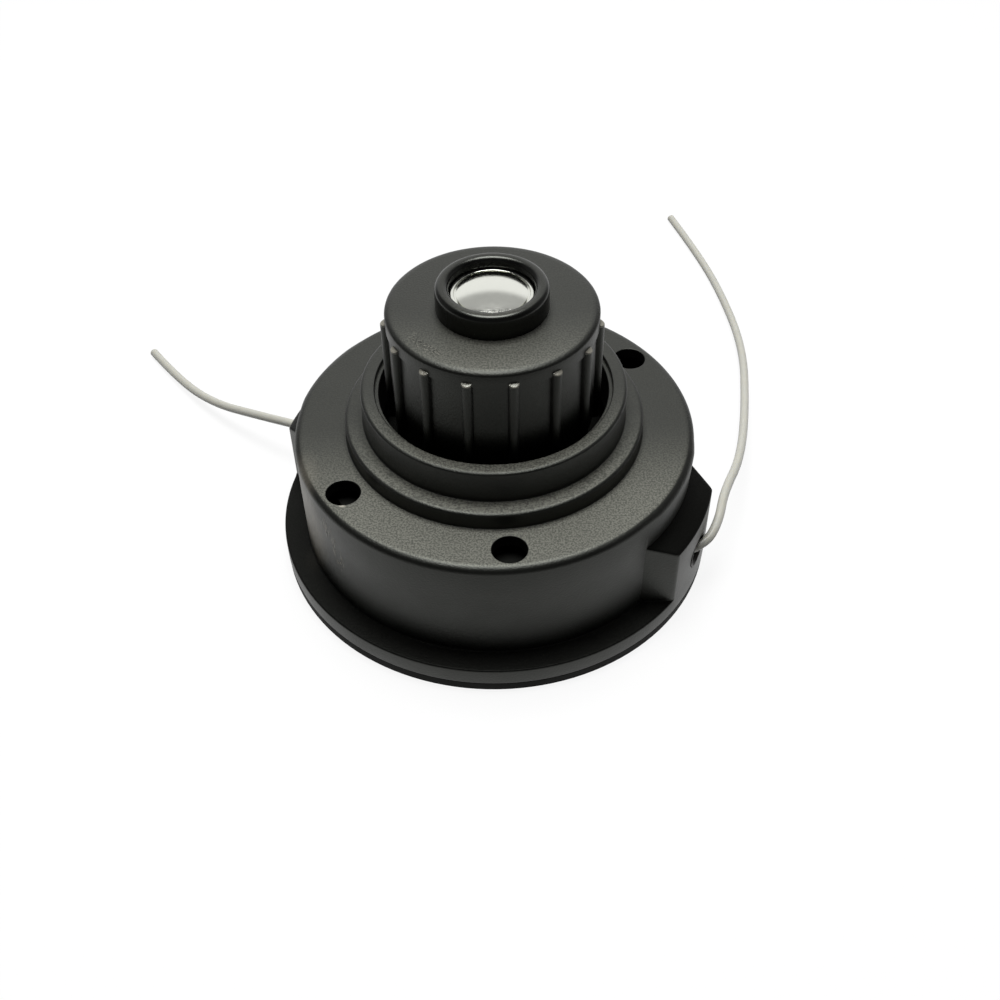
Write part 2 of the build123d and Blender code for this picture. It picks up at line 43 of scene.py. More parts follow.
# Drum, in millimetres
DRUM_RADIUS = 50.0
CAVITY_RADIUS = 47.8
DRUM_EDGE_ROUND = 1.6
DRUM_EDGE_REACH = 2.1
FLANGE_RADIUS = 56.0
FLANGE_BASE = 2.5
FLANGE_TOP = 7.4
FLANGE_EDGE_ROUND = 0.5
FLANGE_ROOT_ROUND = 0.3
DRUM_TOP = 36.3
CEILING = 33.3
LOWER_STEP_RADIUS = 37.0
LOWER_STEP_TOP = 40.7
UPPER_STEP_RADIUS = 32.5
NECK_TOP = 49.3
STEP_ROUND = 0.6
STEP_REACH = 1.2
STEP_ROOT_ROUND = 0.3
NECK_OPENING_RADIUS = 29.0
NECK_LEDGE_TOP = 48.1
NECK_BORE_RADIUS = 28.0
NECK_LIP_ROUND = 0.3
UNDER_STEP_TOP = 37.7
UNDER_STEP_RADIUS = 34.0
WINDOW_RADIUS = 4.1
WINDOW_CIRCLE_RADIUS = 43.5
WINDOW_LIP = 0.25
WINDOW_ANGLES = (-146.0, -86.0, 34.0, 94.0)
INDEX_TEETH = 12
TOOTH_INNER_RADIUS = 34.8
TOOTH_OUTER_RADIUS = 38.6
TOOTH_HALF_WIDTH = 2.9
TOOTH_HEIGHT = 1.2

# Line outlets
BOSS_ANGLES = (-26.0, 154.0)
BOSS_TOP = 26.7
BOSS_TOP_FALL = 2.7
BOSS_FACE_HALF_WIDTH = 11.8
BOSS_ROOT_HALF_WIDTH = 16.0
BOSS_EDGE_BLEND = 0.7
EYELET_HEIGHT = 14.2
EYELET_HOLE_RADIUS = 4.6
EYELET_HOLE_LIP = 0.15

# Knob with its collar and cap
KNOB_RADIUS = 25.0
SKIRT_RADIUS = 24.5
SKIRT_BORE_RADIUS = 21.9
KNOB_BASE = 41.3
KNOB_TOP = 72.2
CROWN_BASE = 68.2
CROWN_UNDER = 68.8
KNOB_EDGE_ROUND = 1.0
KNOB_EDGE_REACH = 2.2
KNOB_BOSS_RADIUS = 9.0
KNOB_BOSS_BASE = 49.4
KNOB_WEBS = 5
KNOB_WEB_HALF_WIDTH = 0.8
RIB_COUNT = 15
RIB_TURN = -79.7
RIB_AXIS_RADIUS = 24.85
RIB_RADIUS = 1.25
RIB_TOP = 69.3
RIB_END_SLOPE = 0.36
RIB_EDGE_BLEND = 0.25
COLLAR_SEAT = 70.8
COLLAR_SEAT_RADIUS = 13.22
COLLAR_RADIUS = 13.2
COLLAR_BORE_RADIUS = 10.0
COLLAR_TOP = 78.2
COLLAR_ROUND = 1.3
DOME_RADIUS = 8.3
DOME_RIM_RADIUS = 9.6
DOME_RIM_TOP = 75.8
DOME_RISE = 1.0
DOME_GROOVE_DEPTH = 0.5
DOME_GROOVE_WIDTH = 0.5
DOME_EDGE_ROUND = 0.15

# Nylon line, the same points as the solids follow
LINE_RADIUS = 1.2
RIGHT_LINE_ROUTE = [
    (46.0, -24.6, 13.4), (52.2, -23.1, 14.2), (56.6, -16.2, 15.6), (59.6, -5.0, 15.2), (66.8, 11.3, 11.4),
    (72.8, 37.0, 6.2), (78.0, 71.1, 2.3), (75.1, 103.3, 1.25), (69.6, 127.7, 1.25), (63.9, 146.7, 1.25)]
LEFT_LINE_ROUTE = [
    (-46.8, 23.3, 12.3), (-54.8, 27.1, 12.2), (-67.6, 35.0, 9.2), (-82.5, 45.8, 4.6),
    (-95.5, 60.0, 1.6), (-106.3, 74.8, 1.25)]

# Camera, fitted to the drum's edges in the photograph
CAMERA_PLACE = (0.041, -231.513, 242.102)
CAMERA_PIXELS = 1231.364
CAMERA_YAW = -0.289
CAMERA_PITCH = 45.269
CAMERA_ROLL = 0.747
PHOTO_WIDTH = 1000
SENSOR_WIDTH = 36.0
CAMERA_CLIP_START = 10.0
CAMERA_CLIP_END = 10000.0

# Finishes: sRGB colours, with patterns and steps as inputs of their nodes. A pattern's scale is one over the
# size of its patches. A step goes from To_Min, or 0, at From_Min to To_Max, or 1, at From_Max. The moulded
# grain is drawn coarser than a real one, so that it shows
BLACK_NYLON = "#0b0b0a"
BLACK_NYLON_ROUGHNESS = 0.42
BLACK_NYLON_GRAIN = 0.46
DRUM_GRAIN_DEPTH = 0.07
KNOB_GRAIN_DEPTH = 0.065
SMOOTH_BLACK_NYLON = "#070707"
SMOOTH_ROUGHNESS = 0.26
SMOOTH_GRAIN = 0.30
SMOOTH_GRAIN_DEPTH = 0.004
DULL_BLACK_NYLON = "#050505"
DULL_ROUGHNESS = 0.7
DULL_GRAIN = 0.45
DULL_GRAIN_DEPTH = 0.04
NYLON_IOR = 1.5
NYLON_SPECULAR = 0.5
DULL_SPECULAR = 0.15
# Tint of the nylon's sheen: the lamp's warm green-yellow, painted into the material
LAMP_TINT_IN_SHEEN = "#fbfff4"
GRAIN = dict(Detail=1.5, Roughness=0.6)
NYLON_CLOUD = dict(Scale=1 / (14.0 * MM), Detail=3.0, Roughness=0.55)
NYLON_CLOUD_STEP = dict(From_Min=0.3, From_Max=0.7)
NYLON_CLOUD_GLOSS = 0.03
POLISHED_STEEL = "#e6e7df"
POLISHED_MARKS = dict(Scale=1 / (1.2 * MM), Detail=4.0, Roughness=0.7)
POLISHED_GLOSS = dict(From_Min=0.35, From_Max=0.7, To_Min=0.10, To_Max=0.16)
BLACKENED_STEEL = "#2c2b29"
BLACKENED_PATCHES = dict(Scale=1 / (1.5 * MM), Detail=3.0, Roughness=0.6)
BLACKENED_GLOSS = dict(From_Min=0.3, From_Max=0.7, To_Min=0.38, To_Max=0.52)
ZINC_STEEL = "#b9b9b4"
ZINC_CLOUDS = dict(Scale=1 / (3.0 * MM), Detail=3.0, Roughness=0.6)
ZINC_GLOSS = dict(From_Min=0.3, From_Max=0.7, To_Min=0.26, To_Max=0.42)
LINE_NYLON = "#cccbc0"
LINE_NYLON_PALE = "#d6d5cb"
LINE_HAZE = dict(Scale=1 / (2.5 * MM), Detail=3.0, Roughness=0.6)
LINE_IOR = 1.53
LINE_ROUGHNESS = 0.35
LINE_DEPTH = 0.6
LINE_DEPTH_SHARE = 0.2
LINE_DEPTH_TINT = (1.0, 0.9, 0.7)

# Pale film on level faces from a height upwards: dust, with a painted sheen that grows towards the front; and
# faces sheltered below
DUST_AND_SHEEN = "#75756c"
LEVEL_FACING = dict(From_Min=0.94, From_Max=0.995)
DUST_AND_SHEEN_HEIGHT = dict(From_Min=32.0 * MM, From_Max=34.0 * MM)
SHEEN_TOWARDS_FRONT = dict(From_Min=0.0 * MM, From_Max=-32.0 * MM, To_Min=0.08, To_Max=0.95)
DUST_AND_SHEEN_IN_GRAIN = dict(From_Min=0.35, From_Max=0.65, To_Min=0.35, To_Max=1.0)
SHELTERED_FACING = dict(From_Min=0.5, From_Max=0.85)
SHELTERED_HEIGHT = dict(From_Min=30.0 * MM, From_Max=28.0 * MM)
SHELTERED_SPECULAR = 0.2

# Marks as (centre, half sizes), with their colours; some are painted highlights
SCUFF = "#b2ada0"
SCUFFS = [
    ((-40.4, -29.4, 29.6), (3, 3, 4)), ((-38.6, -31.8, 25.1), (2.6, 2.6, 4.5)),
    ((-37.7, -32.9, 21.3), (2, 2, 4))]
SCUFF_STRETCH = (0.9, 0.9, 5.0)
SCUFF_WAVES = dict(Scale=1.0, Detail=2.0, Distortion=1.2)
SCUFF_STEP = dict(From_Min=0.48, From_Max=0.56)
SCUFF_HEIGHT = 1.5
# Pale warm film on the left of the wall: dust, with a painted highlight where the wall catches light at a
# grazing angle
WALL_DUST_AND_HIGHLIGHT = "#a29b8c"
WALL_DUST_AND_HIGHLIGHT_STEP = dict(From_Min=0.2, From_Max=0.8, To_Min=0.5, To_Max=1.0)
WALL_DUST_AND_HIGHLIGHT_SPOTS = [((-46.5, -18.5, 23), (9, 17, 17))]
FLASH_SPOTS = [((-36.0, -28.8, 36.3), (1.0, 0.5, 0.9)), ((5.0, -40.6, 36.3), (0.5, 0.5, 0.5))]
PIT = "#040404"
PIT_SPOTS = [((-15.3, -14.6, 72.2), (8.6, 8.6, 2))]
PIT_PATTERN = dict(Scale=1 / (0.34 * MM), Detail=2.0, Roughness=0.6)
PIT_STEP = dict(From_Min=0.46, From_Max=0.64)
PIT_SHARE = 0.6
PIT_DULLING = 0.3
PIT_DEPTH = 0.5
PIT_BAND_INSIDE = dict(From_Min=19.2 * MM, From_Max=20.6 * MM)
PIT_BAND_OUTSIDE = dict(From_Min=23.4 * MM, From_Max=21.8 * MM)
FLECK = "#8a877c"
FLECK_STEP = dict(From_Min=0.46, From_Max=0.32)
FLECK_SHARE = 0.6
# Pale colour on the rib ends: a painted highlight
RIB_END_HIGHLIGHT = "#8a877d"
RIB_END_RADIUS = dict(From_Min=25.02 * MM, From_Max=25.1 * MM)
RIB_END_HEIGHT = dict(From_Min=68.5 * MM, From_Max=68.8 * MM)
RUBBED_GLOSS = 0.2
SPOT_CORE = 0.3

# Studio, in millimetres, with fades as steps
FLOOR_RADIUS = 900
SWEEP_DEPTH = 400
SWEEP_STEPS = 16
SWEEP_COLUMNS = 96
SWEEP_RISE = 560
SWEEP_RISE_BEHIND = 340
BEHIND_POWER = 6
WALL_TO_RISE = 2.5
PAPER_MATT = "#747474"
PAPER_SEEN_MATT = "#f4f4f4"
PAPER_GLOW = 1.04
PAPER_SEEN_SHARE = 0.86
PAPER_MIRRORED_SHARE = 0.95
FRONT_FADE = dict(From_Min=-280 * MM, From_Max=30 * MM, To_Min=0.04, To_Max=1.0)
HIGH_FADE = dict(From_Min=1000 * MM, From_Max=1250 * MM, To_Min=1.0, To_Max=0.45)
SIDE_FADE = dict(From_Min=950 * MM, From_Max=550 * MM, To_Min=0.15, To_Max=1.0)
SOFTBOX_PLACE = (-20, 175, 1020)
SOFTBOX_TARGET = (0, 0, 30)
SOFTBOX_SIZE = (520, 480)
SOFTBOX_WATTS = 10.5
ROOM_LIGHT = 0.03

# Kinds of nodes, and their settings
COORDINATES = "ShaderNodeTexCoord"
AXES = "ShaderNodeSeparateXYZ"
VECTOR = "ShaderNodeCombineXYZ"
MAPPING = "ShaderNodeMapping"
NOISE = "ShaderNodeTexNoise"
STEP = "ShaderNodeMapRange"
MATH = "ShaderNodeMath"
VECTOR_MATH = "ShaderNodeVectorMath"
MIX = "ShaderNodeMix"
BUMP = "ShaderNodeBump"
PRINCIPLED = "ShaderNodeBsdfPrincipled"
DIFFUSE = "ShaderNodeBsdfDiffuse"
EMISSION = "ShaderNodeEmission"
MIX_SHADER = "ShaderNodeMixShader"
LIGHT_PATH = "ShaderNodeLightPath"
OUTPUT = "ShaderNodeOutputMaterial"
SMOOTH = {"interpolation_type": "SMOOTHSTEP"}
COLOUR = {"data_type": "RGBA"}
ADD = {"operation": "ADD"}
SUBTRACT = {"operation": "SUBTRACT"}
MULTIPLY = {"operation": "MULTIPLY"}
DIVIDE = {"operation": "DIVIDE"}
LARGER = {"operation": "MAXIMUM"}
ABSOLUTE = {"operation": "ABSOLUTE"}
LENGTH = {"operation": "LENGTH"}

# The two columns of a profile
RADIUS = 0
HEIGHT = 1

# Mesh fineness
ARC_STEPS = 7
PATCH_ROWS = 13
WINDOW_PATCH_HALF_ANGLE = 9
WINDOW_PATCH_MARGIN = 0.28
CEILING_PATCH_MARGIN = 0.1
OUTLET_PATCH_HALF_ANGLE = 8
OUTLET_PATCH_HALF_HEIGHT = 5.8
MERGE_DISTANCE = 0.0005
SHARP_ANGLE = 32.0
HOLE_RING_SHARES = (0.5, 0.8, 1.0)
OUTLET_SIDE_DEGREES = (9.0, 21.0, 0.25)
OUTLET_REACH_DEGREES = 45.0
COLUMN_TOLERANCE = 0.001
SMALLEST_RUN = 1e-9
RIB_COLUMNS = 17
RIB_COVER = 1.02
PANEL_COLUMNS = 8
SKIRT_ROWS = 8
WEB_SINK = 1.0
TURNED_COLUMNS = 180
DOME_ROWS = 40
LINE_BEVEL_STEPS = 6
LINE_SPLINE_ORDER = 3
LINE_STEPS = 16


def rounded_loop(corners, rounds, stops, angles):
    """Closed profile in (radius, height) for every angle at once. At a corner c with reaches p and q the
    points are c + p to_last (1 - sin a) + q to_next (1 - cos a) for a from 0 to a quarter turn, a quarter
    ellipse; a single number is both reaches. stops[k] are further places along the straight run after corner
    k, as RADIUS or HEIGHT with its values."""
    points = [np.stack(np.broadcast_arrays(*corner, angles)[:2]).astype(float) for corner in corners]
    rows, places = [], {}
    for k, here in enumerate(points):
        to_last = points[k - 1] - here
        to_next = points[(k + 1) % len(points)] - here
        to_last = to_last / np.maximum(np.hypot(*to_last), SMALLEST_RUN)
        to_next = to_next / np.maximum(np.hypot(*to_next), SMALLEST_RUN)
        before, after = rounds[k] if isinstance(rounds[k], tuple) else (rounds[k], rounds[k])
        turn = np.linspace(0, math.pi / 2, ARC_STEPS if np.max(before) > 0 else 1)
        for a in turn:
            rows.append(here + before * to_last * (1 - math.sin(a)) + after * to_next * (1 - math.cos(a)))
        if k in stops:
            axis, values = stops[k]
            places[k] = np.arange(len(rows), len(rows) + len(values))
            for value in values:
                row = here.copy()
                row[axis] = value
                rows.append(row)
    return np.stack(rows), places


def lathe_points(radius, height, angles):
    """Points (r cos t, r sin t, z) of a profile carried round the spindle."""
    return np.stack([radius * np.cos(angles), radius * np.sin(angles), height], axis=-1)


def loop_faces(rows, columns):
    """Quads of a grid that closes on itself both ways, as an array of four corner numbers."""
    i, j = np.meshgrid(np.arange(rows), np.arange(columns), indexing="ij")
    below, beside = (i + 1) % rows, (j + 1) % columns
    return np.stack(
        [i * columns + j, i * columns + beside, below * columns + beside, below * columns + j], axis=-1)


def band_faces(rows, columns):
    """Quads of a grid that closes on itself along its rows and is open across them."""
    return loop_faces(rows, columns)[:-1]


def make_piece(name, parts, body, material, nodes):
    """One mesh piece from (points in mm, faces) parts, its seams merged, its faces turned outwards."""
    points, faces, count = [], [], 0
    for part_points, part_faces in parts:
        points.append(part_points.reshape(-1, 3))
        faces.append(part_faces.reshape(-1, 4) + count)
        count += len(points[-1])
    mesh = bpy.data.meshes.new(name)
    mesh.from_pydata(np.concatenate(points) * MM, [], np.concatenate(faces).tolist())
    shape = bmesh.new()
    shape.from_mesh(mesh)
    bmesh.ops.remove_doubles(shape, verts=shape.verts, dist=MERGE_DISTANCE * MM)
    bmesh.ops.dissolve_degenerate(shape, edges=shape.edges, dist=MERGE_DISTANCE * MM)
    bmesh.ops.recalc_face_normals(shape, faces=shape.faces)
    shape.to_mesh(mesh)
    shape.free()
    mesh.shade_smooth()
    mesh.set_sharp_from_angle(angle=math.radians(SHARP_ANGLE))
    piece = bpy.data.objects.new(name, mesh)
    bpy.context.scene.collection.objects.link(piece)
    mesh.materials.append(material)
    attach(piece, body)
    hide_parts(*nodes)
    return piece


def patch_border(rows, columns):
    """Row and column numbers once round the border of a patch of the grid."""
    row = np.concatenate([
        np.full(len(columns) - 1, rows[0]), rows[:-1], np.full(len(columns) - 1, rows[-1]), rows[:0:-1]])
    column = np.concatenate([
        columns[:-1], np.full(len(rows) - 1, columns[-1]), columns[:0:-1],
        np.full(len(rows) - 1, columns[0])])
    return row, column


def through_hole(outer_border, inner_border, plane, outer_face, inner_face, inward, radius, lip):
    """Wall of a round hole with its two surroundings. Each border point is joined along its own ray in the
    hole's plane (p, q) to the circle of that radius, over a rounded lip, down the hole and out to the other
    border."""
    p, q = plane(outer_border)
    turn = np.arctan2(q, p)
    reach = np.hypot(p, q)
    rings = [outer_border]
    for share in HOLE_RING_SHARES:
        ray = reach + (radius + lip - reach) * share
        rings.append(outer_face(ray * np.cos(turn), ray * np.sin(turn)))
    for a in np.linspace(0, math.pi / 2, ARC_STEPS)[1:]:
        ray = radius + lip * (1 - math.sin(a))
        edge = outer_face(ray * np.cos(turn), ray * np.sin(turn))
        rings.append(edge + inward * lip * (1 - math.cos(a)))
    rings.append(inner_face(radius * np.cos(turn), radius * np.sin(turn)))
    rings.append(inner_border)
    rings = np.stack(rings)
    return rings, band_faces(len(rings), rings.shape[1])


def radial_blocks(count, turn, inner, outer, half_width, low, high):
    """Plain blocks standing out from the spindle, evenly round it: teeth or webs."""
    corner = np.array([
        (inner, -half_width, low), (outer, -half_width, low), (outer, half_width, low),
        (inner, half_width, low), (inner, -half_width, high), (outer, -half_width, high),
        (outer, half_width, high), (inner, half_width, high)])
    sides = np.array([(0, 3, 2, 1), (4, 5, 6, 7), (0, 1, 5, 4), (1, 2, 6, 5), (2, 3, 7, 6), (3, 0, 4, 7)])
    angle = np.radians(turn) + 2 * math.pi * np.arange(count)[:, None] / count
    x = corner[:, 0] * np.cos(angle) - corner[:, 1] * np.sin(angle)
    y = corner[:, 0] * np.sin(angle) + corner[:, 1] * np.cos(angle)
    z = np.broadcast_to(corner[:, 2], x.shape)
    return np.stack([x, y, z], axis=-1), sides[None] + len(corner) * np.arange(count)[:, None, None]


def soft_min(a, b, width):
    """Smaller of two values, blended over the given width."""
    share = np.clip(0.5 + 0.5 * (b - a) / width, 0, 1)
    return b + (a - b) * share - width * share * (1 - share)


def outlet_radius(angles, height):
    """Outer radius of the wall at a height: the drum's, and at each outlet the flange's, with flat tapered
    sides on the line across = half width + taper (reach - out), and a top that falls outwards to the flange's
    radius."""
    taper = (BOSS_ROOT_HALF_WIDTH - BOSS_FACE_HALF_WIDTH) / (FLANGE_RADIUS - CAVITY_RADIUS)
    run = (FLANGE_RADIUS - DRUM_RADIUS) / BOSS_TOP_FALL
    top = DRUM_RADIUS + (BOSS_TOP - height) * run
    face = soft_min(np.full(angles.shape, FLANGE_RADIUS), top, BOSS_EDGE_BLEND)
    radius = np.full(angles.shape, DRUM_RADIUS)
    for angle in BOSS_ANGLES:
        off = np.abs((angles - math.radians(angle) + math.pi) % (2 * math.pi) - math.pi)
        near = off < math.radians(OUTLET_REACH_DEGREES)
        slope = np.where(near, np.sin(off) + taper * np.cos(off), 1)
        side = np.where(near, (BOSS_FACE_HALF_WIDTH + taper * FLANGE_RADIUS) / slope, 0)
        radius = np.maximum(radius, soft_min(side, face, BOSS_EDGE_BLEND))
    return radius


def drum_angles():
    """Angles of the drum's columns: every degree, and finer over the sides of the outlets."""
    fine = np.arange(*OUTLET_SIDE_DEGREES)
    sides = [angle + side * fine for angle in BOSS_ANGLES for side in (-1, 1)]
    degrees = np.concatenate([np.arange(0, 360, 1.0), *sides])
    return np.radians(np.unique(np.round(degrees % 360, 4)))


def columns_near(angles, middle, half):
    """Numbers of the columns from middle - half to middle + half degrees, in order."""
    off = (np.degrees(angles) - middle + 180) % 360 - 180
    found = np.nonzero(np.abs(off) < half + COLUMN_TOLERANCE)[0]
    return found[np.argsort(off[found])]


def directions_at(angle):
    """Unit vectors outwards, across and up at an angle round the spindle."""
    cos, sin = math.cos(math.radians(angle)), math.sin(math.radians(angle))
    return np.array([cos, sin, 0]), np.array([-sin, cos, 0]), np.array([0, 0, 1.0])


def drum_parts():
    """Moulded drum as one closed skin: a stepped profile round the spindle whose wall swells to the outlets,
    with four round windows and two line holes cut through it, and the index teeth under its top plate."""
    angles = drum_angles()
    wall = outlet_radius(angles, FLANGE_TOP)
    out = FLANGE_RADIUS - wall
    edge = np.minimum(FLANGE_EDGE_ROUND, out / 2)
    root = np.minimum(FLANGE_ROOT_ROUND, out / 2)
    corners = [
        (CAVITY_RADIUS, FLANGE_BASE), (FLANGE_RADIUS, FLANGE_BASE), (FLANGE_RADIUS, FLANGE_TOP),
        (wall, FLANGE_TOP), (DRUM_RADIUS, DRUM_TOP), (LOWER_STEP_RADIUS, DRUM_TOP),
        (LOWER_STEP_RADIUS, LOWER_STEP_TOP), (UPPER_STEP_RADIUS, LOWER_STEP_TOP),
        (UPPER_STEP_RADIUS, NECK_TOP), (NECK_OPENING_RADIUS, NECK_TOP), (NECK_OPENING_RADIUS, NECK_LEDGE_TOP),
        (NECK_BORE_RADIUS, NECK_LEDGE_TOP), (NECK_BORE_RADIUS, UNDER_STEP_TOP),
        (UNDER_STEP_RADIUS, UNDER_STEP_TOP), (UNDER_STEP_RADIUS, CEILING), (CAVITY_RADIUS, CEILING)]
    rounds = [
        0, FLANGE_EDGE_ROUND, edge, root, (DRUM_EDGE_ROUND, DRUM_EDGE_REACH), STEP_ROOT_ROUND,
        (STEP_ROUND, STEP_REACH), STEP_ROOT_ROUND, (STEP_ROUND, STEP_REACH), NECK_LIP_ROUND, 0,
        NECK_LIP_ROUND, 0, 0, 0, 0]
    far = WINDOW_CIRCLE_RADIUS + WINDOW_RADIUS
    near = WINDOW_CIRCLE_RADIUS - WINDOW_RADIUS - WINDOW_PATCH_MARGIN
    low, high = EYELET_HEIGHT - OUTLET_PATCH_HALF_HEIGHT, EYELET_HEIGHT + OUTLET_PATCH_HALF_HEIGHT
    face_top = BOSS_TOP - BOSS_TOP_FALL
    slope_rows = np.linspace(face_top - BOSS_EDGE_BLEND, BOSS_TOP, PATCH_ROWS)
    wall_run, top_run, ceiling_run, cavity_run = 3, 4, 14, 15
    stops = {
        wall_run: (HEIGHT, np.concatenate([np.linspace(low, high, PATCH_ROWS), slope_rows])),
        top_run: (RADIUS, np.linspace(far + WINDOW_PATCH_MARGIN, near, PATCH_ROWS)),
        ceiling_run: (RADIUS, np.linspace(near, far + CEILING_PATCH_MARGIN, PATCH_ROWS)),
        cavity_run: (HEIGHT, np.linspace(high, low, PATCH_ROWS))}
    profile, places = rounded_loop(corners, rounds, stops, angles)
    for row in places[wall_run]:
        profile[row, RADIUS] = outlet_radius(angles, profile[row, HEIGHT])
    skin = lathe_points(profile[:, RADIUS], profile[:, HEIGHT], angles)
    faces = loop_faces(*skin.shape[:2])
    kept = np.ones(faces.shape[:2], bool)
    parts = []
    for angle in WINDOW_ANGLES:
        columns = columns_near(angles, angle, WINDOW_PATCH_HALF_ANGLE)
        top, under = places[top_run], places[ceiling_run][::-1]
        out, across, axis = directions_at(angle)
        parts.append(through_hole(
            skin[patch_border(top, columns)], skin[patch_border(under, columns)],
            lambda points: (points @ out - WINDOW_CIRCLE_RADIUS, points @ across),
            lambda p, q: np.outer(p + WINDOW_CIRCLE_RADIUS, out) + np.outer(q, across) + DRUM_TOP * axis,
            lambda p, q: np.outer(p + WINDOW_CIRCLE_RADIUS, out) + np.outer(q, across) + CEILING * axis,
            -axis, WINDOW_RADIUS, WINDOW_LIP))
        for rows in (top, under[::-1]):
            kept[np.ix_(rows[:-1], columns[:-1])] = False
    for angle in BOSS_ANGLES:
        columns = columns_near(angles, angle, OUTLET_PATCH_HALF_ANGLE)
        outside, inside = places[wall_run][:PATCH_ROWS], places[cavity_run][::-1]
        out, across, axis = directions_at(angle)
        parts.append(through_hole(
            skin[patch_border(outside, columns)], skin[patch_border(inside, columns)],
            lambda points: (points @ across, points[:, 2] - EYELET_HEIGHT),
            lambda p, q: (np.outer(np.sqrt(FLANGE_RADIUS ** 2 - p ** 2), out) + np.outer(p, across)
                          + np.outer(q + EYELET_HEIGHT, axis)),
            lambda p, q: (np.outer(np.sqrt(CAVITY_RADIUS ** 2 - p ** 2), out) + np.outer(p, across)
                          + np.outer(q + EYELET_HEIGHT, axis)),
            -out, EYELET_HOLE_RADIUS, EYELET_HOLE_LIP))
        for rows in (outside, inside[::-1]):
            kept[np.ix_(rows[:-1], columns[:-1])] = False
    parts.insert(0, (skin, faces[kept]))
    parts.append(radial_blocks(
        INDEX_TEETH, 0, TOOTH_INNER_RADIUS, TOOTH_OUTER_RADIUS, TOOTH_HALF_WIDTH, CEILING - TOOTH_HEIGHT,
        CEILING + TOOTH_HEIGHT / 2))
    return parts


def rib_angles():
    """Angles of the knob's columns: close over each rib, wider on the panels between."""
    half = np.degrees(np.arcsin(RIB_RADIUS / RIB_AXIS_RADIUS))
    over = half * RIB_COVER * np.sin(np.linspace(-math.pi / 2, math.pi / 2, RIB_COLUMNS))
    pitch = 360 / RIB_COUNT
    between = np.linspace(over[-1], pitch - over[-1], PANEL_COLUMNS)[1:-1]
    one = np.concatenate([over, between])
    degrees = RIB_TURN + np.add.outer(pitch * np.arange(RIB_COUNT), one).ravel()
    return np.radians(degrees)


def rib_radius(angles, height):
    """Outer radius of the ribs: upright round bars, r = c cos t + sqrt(q^2 - c^2 sin^2 t), each ending in a
    face that falls outwards a little, r = knob radius + (top - z) / slope."""
    pitch = 2 * math.pi / RIB_COUNT
    off = (angles - math.radians(RIB_TURN) + pitch / 2) % pitch - pitch / 2
    left = RIB_RADIUS ** 2 - (RIB_AXIS_RADIUS * np.sin(off)) ** 2
    bar = np.where(left > 0, RIB_AXIS_RADIUS * np.cos(off) + np.sqrt(np.maximum(left, 0)), 0)
    end = KNOB_RADIUS + (RIB_TOP - height) / RIB_END_SLOPE
    return soft_min(bar, end, RIB_EDGE_BLEND)


def knob_parts():
    """Tap knob as one closed skin: crowned cap over a skirt, the ribs standing out of the skirt, with the
    boss and webs inside."""
    angles = rib_angles()
    corners = [
        (SKIRT_BORE_RADIUS, KNOB_BASE), (SKIRT_RADIUS, KNOB_BASE), (SKIRT_RADIUS, CROWN_BASE),
        (KNOB_RADIUS, CROWN_BASE), (KNOB_RADIUS, KNOB_TOP), (COLLAR_SEAT_RADIUS, KNOB_TOP),
        (COLLAR_SEAT_RADIUS, COLLAR_SEAT), (0, COLLAR_SEAT), (0, KNOB_BOSS_BASE),
        (KNOB_BOSS_RADIUS, KNOB_BOSS_BASE), (KNOB_BOSS_RADIUS, CROWN_UNDER), (SKIRT_BORE_RADIUS, CROWN_UNDER)]
    rounds = [0, 0, 0, 0, (KNOB_EDGE_ROUND, KNOB_EDGE_REACH), 0, 0, 0, 0, 0, 0, 0]
    end_base = RIB_TOP - (RIB_AXIS_RADIUS + RIB_RADIUS - KNOB_RADIUS + RIB_EDGE_BLEND) * RIB_END_SLOPE
    skirt_run, crown_run = 1, 3
    stops = {
        skirt_run: (HEIGHT, np.linspace(KNOB_BASE, CROWN_BASE, SKIRT_ROWS)[1:-1]),
        crown_run: (HEIGHT, np.linspace(end_base, RIB_TOP, PATCH_ROWS))}
    profile, _ = rounded_loop(corners, rounds, stops, angles)
    radius, height = profile[:, RADIUS], profile[:, HEIGHT]
    ribbed = (height < KNOB_TOP - KNOB_EDGE_ROUND) & (radius > (SKIRT_BORE_RADIUS + SKIRT_RADIUS) / 2)
    radius = np.where(ribbed, np.maximum(radius, rib_radius(angles, height)), radius)
    skin = lathe_points(radius, height, angles)
    webs = radial_blocks(
        KNOB_WEBS, 0, KNOB_BOSS_RADIUS - WEB_SINK, SKIRT_BORE_RADIUS + WEB_SINK, KNOB_WEB_HALF_WIDTH,
        KNOB_BOSS_BASE, CROWN_UNDER + KNOB_WEB_HALF_WIDTH)
    return [(skin, loop_faces(*skin.shape[:2])), webs]


def turned_parts(corners, rounds):
    """Plain turned piece: its closed profile carried round the spindle."""
    angles = np.linspace(0, 2 * math.pi, TURNED_COLUMNS, endpoint=False)
    profile, _ = rounded_loop(corners, rounds, {}, angles)
    skin = lathe_points(profile[:, RADIUS], profile[:, HEIGHT], angles)
    return [(skin, loop_faces(*skin.shape[:2]))]


def collar_parts():
    """Smooth ring with a round shoulder outside and a round lip inside."""
    return turned_parts(
        [(COLLAR_BORE_RADIUS, COLLAR_SEAT), (COLLAR_RADIUS, COLLAR_SEAT), (COLLAR_RADIUS, COLLAR_TOP),
         (COLLAR_BORE_RADIUS, COLLAR_TOP)], [0, 0, COLLAR_ROUND, COLLAR_ROUND])


